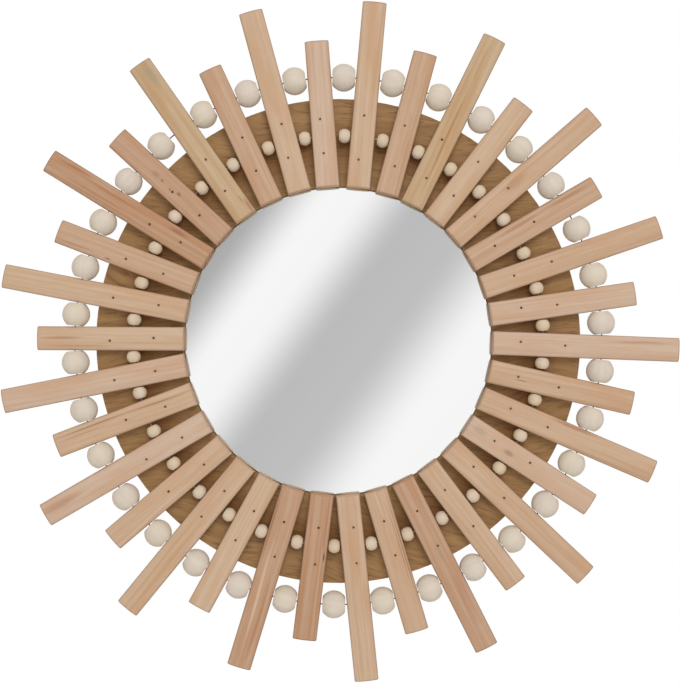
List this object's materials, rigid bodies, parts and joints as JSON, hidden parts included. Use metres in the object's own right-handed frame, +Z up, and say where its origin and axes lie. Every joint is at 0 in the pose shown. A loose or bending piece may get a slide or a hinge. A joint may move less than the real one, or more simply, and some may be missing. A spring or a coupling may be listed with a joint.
{
  "type": "sunburst wall mirror",
  "caption": "Round wall mirror framed by long and short wooden slats set like sun rays, with large and small wooden beads threaded on wires between them.",
  "frame": {"origin": "centre of the backing board's back face, on the wall", "axes": "+Y from the mirror into the wall, +Z up, +X to the right of someone facing the glass"},
  "size_m": [0.6971, 0.0337, 0.6991],
  "materials": {
    "raw_wood": "raw",
    "stained_wood": "stained",
    "large_bead_wood": "smooth",
    "small_bead_wood": "smooth",
    "silvered_glass": "polished",
    "foam_pad": "matte",
    "steel_wire": "drawn",
    "steel_brad": "dull",
    "hanger_steel": "plated",
    "screw_steel": "plated"
  },
  "bodies": {
    "mirror_frame": {"backing_board": "stained_wood", "mirror_glass": "silvered_glass", "mirror_pads": "foam_pad", "long_slats": "raw_wood", "short_slats": "raw_wood", "brads": "steel_brad", "outer_wire": "steel_wire", "inner_wire": "steel_wire", "small_beads": "small_bead_wood", "hanger_strap_left": "hanger_steel", "hanger_strap_right": "hanger_steel", "hanger_screws": "screw_steel"},
    "large_bead_01": {"large_bead_01": "large_bead_wood"},
    "large_bead_02": {"large_bead_02": "large_bead_wood"},
    "large_bead_03": {"large_bead_03": "large_bead_wood"},
    "large_bead_04": {"large_bead_04": "large_bead_wood"},
    "large_bead_05": {"large_bead_05": "large_bead_wood"},
    "large_bead_06": {"large_bead_06": "large_bead_wood"},
    "large_bead_07": {"large_bead_07": "large_bead_wood"},
    "large_bead_08": {"large_bead_08": "large_bead_wood"},
    "large_bead_09": {"large_bead_09": "large_bead_wood"},
    "large_bead_10": {"large_bead_10": "large_bead_wood"},
    "large_bead_11": {"large_bead_11": "large_bead_wood"},
    "large_bead_12": {"large_bead_12": "large_bead_wood"},
    "large_bead_13": {"large_bead_13": "large_bead_wood"},
    "large_bead_14": {"large_bead_14": "large_bead_wood"},
    "large_bead_15": {"large_bead_15": "large_bead_wood"},
    "large_bead_16": {"large_bead_16": "large_bead_wood"},
    "large_bead_17": {"large_bead_17": "large_bead_wood"},
    "large_bead_18": {"large_bead_18": "large_bead_wood"},
    "large_bead_19": {"large_bead_19": "large_bead_wood"},
    "large_bead_20": {"large_bead_20": "large_bead_wood"},
    "large_bead_21": {"large_bead_21": "large_bead_wood"},
    "large_bead_22": {"large_bead_22": "large_bead_wood"},
    "large_bead_23": {"large_bead_23": "large_bead_wood"},
    "large_bead_24": {"large_bead_24": "large_bead_wood"},
    "large_bead_25": {"large_bead_25": "large_bead_wood"},
    "large_bead_26": {"large_bead_26": "large_bead_wood"},
    "large_bead_27": {"large_bead_27": "large_bead_wood"},
    "large_bead_28": {"large_bead_28": "large_bead_wood"},
    "large_bead_29": {"large_bead_29": "large_bead_wood"},
    "large_bead_30": {"large_bead_30": "large_bead_wood"},
    "large_bead_31": {"large_bead_31": "large_bead_wood"},
    "large_bead_32": {"large_bead_32": "large_bead_wood"},
    "large_bead_33": {"large_bead_33": "large_bead_wood"},
    "large_bead_34": {"large_bead_34": "large_bead_wood"},
    "hang_ring_left": {"hang_ring_left": "hanger_steel"},
    "hang_ring_right": {"hang_ring_right": "hanger_steel"}
  },
  "joints": [
    {"name": "hang_ring_left_swing", "type": "hinge", "parent": "mirror_frame", "child": "hang_ring_left", "pos_m": [-0.19499, -0.00245, 0.0901], "axis": [1, 0, 0], "range_deg": [0, 180]},
    {"name": "hang_ring_right_swing", "type": "hinge", "parent": "mirror_frame", "child": "hang_ring_right", "pos_m": [0.19499, -0.00245, 0.0901], "axis": [1, 0, 0], "range_deg": [0, 180]},
    {"name": "large_bead_01_turn", "type": "hinge", "parent": "mirror_frame", "child": "large_bead_01", "pos_m": [0.2699, -0.0197, -0.03098], "axis": [0.114, 0, 0.9935], "continuous": true},
    {"name": "large_bead_02_turn", "type": "hinge", "parent": "mirror_frame", "child": "large_bead_02", "pos_m": [0.25963, -0.0197, -0.08], "axis": [0.2945, 0, 0.9557], "continuous": true},
    {"name": "large_bead_03_turn", "type": "hinge", "parent": "mirror_frame", "child": "large_bead_03", "pos_m": [0.24058, -0.0197, -0.12621], "axis": [0.4646, 0, 0.8855], "continuous": true},
    {"name": "large_bead_04_turn", "type": "hinge", "parent": "mirror_frame", "child": "large_bead_04", "pos_m": [0.21335, -0.0197, -0.16819], "axis": [0.6191, 0, 0.7853], "continuous": true},
    {"name": "large_bead_05_turn", "type": "hinge", "parent": "mirror_frame", "child": "large_bead_05", "pos_m": [0.17911, -0.0197, -0.20427], "axis": [0.7519, 0, 0.6593], "continuous": true},
    {"name": "large_bead_06_turn", "type": "hinge", "parent": "mirror_frame", "child": "large_bead_06", "pos_m": [0.139, -0.0197, -0.23342], "axis": [0.8592, 0, 0.5117], "continuous": true},
    {"name": "large_bead_07_turn", "type": "hinge", "parent": "mirror_frame", "child": "large_bead_07", "pos_m": [0.09406, -0.0197, -0.25487], "axis": [0.9381, 0, 0.3462], "continuous": true},
    {"name": "large_bead_08_turn", "type": "hinge", "parent": "mirror_frame", "child": "large_bead_08", "pos_m": [0.04573, -0.0197, -0.2678], "axis": [0.9857, 0, 0.1683], "continuous": true},
    {"name": "large_bead_09_turn", "type": "hinge", "parent": "mirror_frame", "child": "large_bead_09", "pos_m": [-0.00459, -0.0197, -0.27164], "axis": [0.9999, 0, -0.0169], "continuous": true},
    {"name": "large_bead_10_turn", "type": "hinge", "parent": "mirror_frame", "child": "large_bead_10", "pos_m": [-0.05504, -0.0197, -0.26604], "axis": [0.9793, 0, -0.2026], "continuous": true},
    {"name": "large_bead_11_turn", "type": "hinge", "parent": "mirror_frame", "child": "large_bead_11", "pos_m": [-0.10266, -0.0197, -0.25153], "axis": [0.9259, 0, -0.3779], "continuous": true},
    {"name": "large_bead_12_turn", "type": "hinge", "parent": "mirror_frame", "child": "large_bead_12", "pos_m": [-0.14666, -0.0197, -0.22869], "axis": [0.8418, 0, -0.5398], "continuous": true},
    {"name": "large_bead_13_turn", "type": "hinge", "parent": "mirror_frame", "child": "large_bead_13", "pos_m": [-0.18589, -0.0197, -0.19812], "axis": [0.7292, 0, -0.6843], "continuous": true},
    {"name": "large_bead_14_turn", "type": "hinge", "parent": "mirror_frame", "child": "large_bead_14", "pos_m": [-0.21906, -0.0197, -0.16069], "axis": [0.5915, 0, -0.8063], "continuous": true},
    {"name": "large_bead_15_turn", "type": "hinge", "parent": "mirror_frame", "child": "large_bead_15", "pos_m": [-0.24487, -0.0197, -0.11766], "axis": [0.4331, 0, -0.9014], "continuous": true},
    {"name": "large_bead_16_turn", "type": "hinge", "parent": "mirror_frame", "child": "large_bead_16", "pos_m": [-0.26225, -0.0197, -0.07096], "axis": [0.2612, 0, -0.9653], "continuous": true},
    {"name": "large_bead_17_turn", "type": "hinge", "parent": "mirror_frame", "child": "large_bead_17", "pos_m": [-0.27078, -0.0197, -0.02202], "axis": [0.0811, 0, -0.9967], "continuous": true},
    {"name": "large_bead_18_turn", "type": "hinge", "parent": "mirror_frame", "child": "large_bead_18", "pos_m": [-0.27028, -0.0197, 0.02753], "axis": [-0.1013, 0, -0.9949], "continuous": true},
    {"name": "large_bead_19_turn", "type": "hinge", "parent": "mirror_frame", "child": "large_bead_19", "pos_m": [-0.26078, -0.0197, 0.07615], "axis": [-0.2803, 0, -0.9599], "continuous": true},
    {"name": "large_bead_20_turn", "type": "hinge", "parent": "mirror_frame", "child": "large_bead_20", "pos_m": [-0.24248, -0.0197, 0.12252], "axis": [-0.451, 0, -0.8925], "continuous": true},
    {"name": "large_bead_21_turn", "type": "hinge", "parent": "mirror_frame", "child": "large_bead_21", "pos_m": [-0.21615, -0.0197, 0.16458], "axis": [-0.6058, 0, -0.7956], "continuous": true},
    {"name": "large_bead_22_turn", "type": "hinge", "parent": "mirror_frame", "child": "large_bead_22", "pos_m": [-0.18266, -0.0197, 0.2011], "axis": [-0.7402, 0, -0.6724], "continuous": true},
    {"name": "large_bead_23_turn", "type": "hinge", "parent": "mirror_frame", "child": "large_bead_23", "pos_m": [-0.1389, -0.0197, 0.23348], "axis": [-0.8594, 0, -0.5113], "continuous": true},
    {"name": "large_bead_24_turn", "type": "hinge", "parent": "mirror_frame", "child": "large_bead_24", "pos_m": [-0.09348, -0.0197, 0.25509], "axis": [-0.9389, 0, -0.3441], "continuous": true},
    {"name": "large_bead_25_turn", "type": "hinge", "parent": "mirror_frame", "child": "large_bead_25", "pos_m": [-0.04513, -0.0197, 0.2679], "axis": [-0.9861, 0, -0.1661], "continuous": true},
    {"name": "large_bead_26_turn", "type": "hinge", "parent": "mirror_frame", "child": "large_bead_26", "pos_m": [0.00572, -0.0197, 0.27161], "axis": [-0.9998, 0, 0.0211], "continuous": true},
    {"name": "large_bead_27_turn", "type": "hinge", "parent": "mirror_frame", "child": "large_bead_27", "pos_m": [0.05604, -0.0197, 0.26583], "axis": [-0.9785, 0, 0.2063], "continuous": true},
    {"name": "large_bead_28_turn", "type": "hinge", "parent": "mirror_frame", "child": "large_bead_28", "pos_m": [0.10364, -0.0197, 0.25113], "axis": [-0.9244, 0, 0.3815], "continuous": true},
    {"name": "large_bead_29_turn", "type": "hinge", "parent": "mirror_frame", "child": "large_bead_29", "pos_m": [0.1475, -0.0197, 0.22815], "axis": [-0.8398, 0, 0.5429], "continuous": true},
    {"name": "large_bead_30_turn", "type": "hinge", "parent": "mirror_frame", "child": "large_bead_30", "pos_m": [0.18655, -0.0197, 0.1975], "axis": [-0.727, 0, 0.6867], "continuous": true},
    {"name": "large_bead_31_turn", "type": "hinge", "parent": "mirror_frame", "child": "large_bead_31", "pos_m": [0.21944, -0.0197, 0.16017], "axis": [-0.5896, 0, 0.8077], "continuous": true},
    {"name": "large_bead_32_turn", "type": "hinge", "parent": "mirror_frame", "child": "large_bead_32", "pos_m": [0.2459, -0.0197, 0.11549], "axis": [-0.4251, 0, 0.9051], "continuous": true},
    {"name": "large_bead_33_turn", "type": "hinge", "parent": "mirror_frame", "child": "large_bead_33", "pos_m": [0.26303, -0.0197, 0.06798], "axis": [-0.2502, 0, 0.9682], "continuous": true},
    {"name": "large_bead_34_turn", "type": "hinge", "parent": "mirror_frame", "child": "large_bead_34", "pos_m": [0.27102, -0.0197, 0.01879], "axis": [-0.0691, 0, 0.9976], "continuous": true}
  ]
}
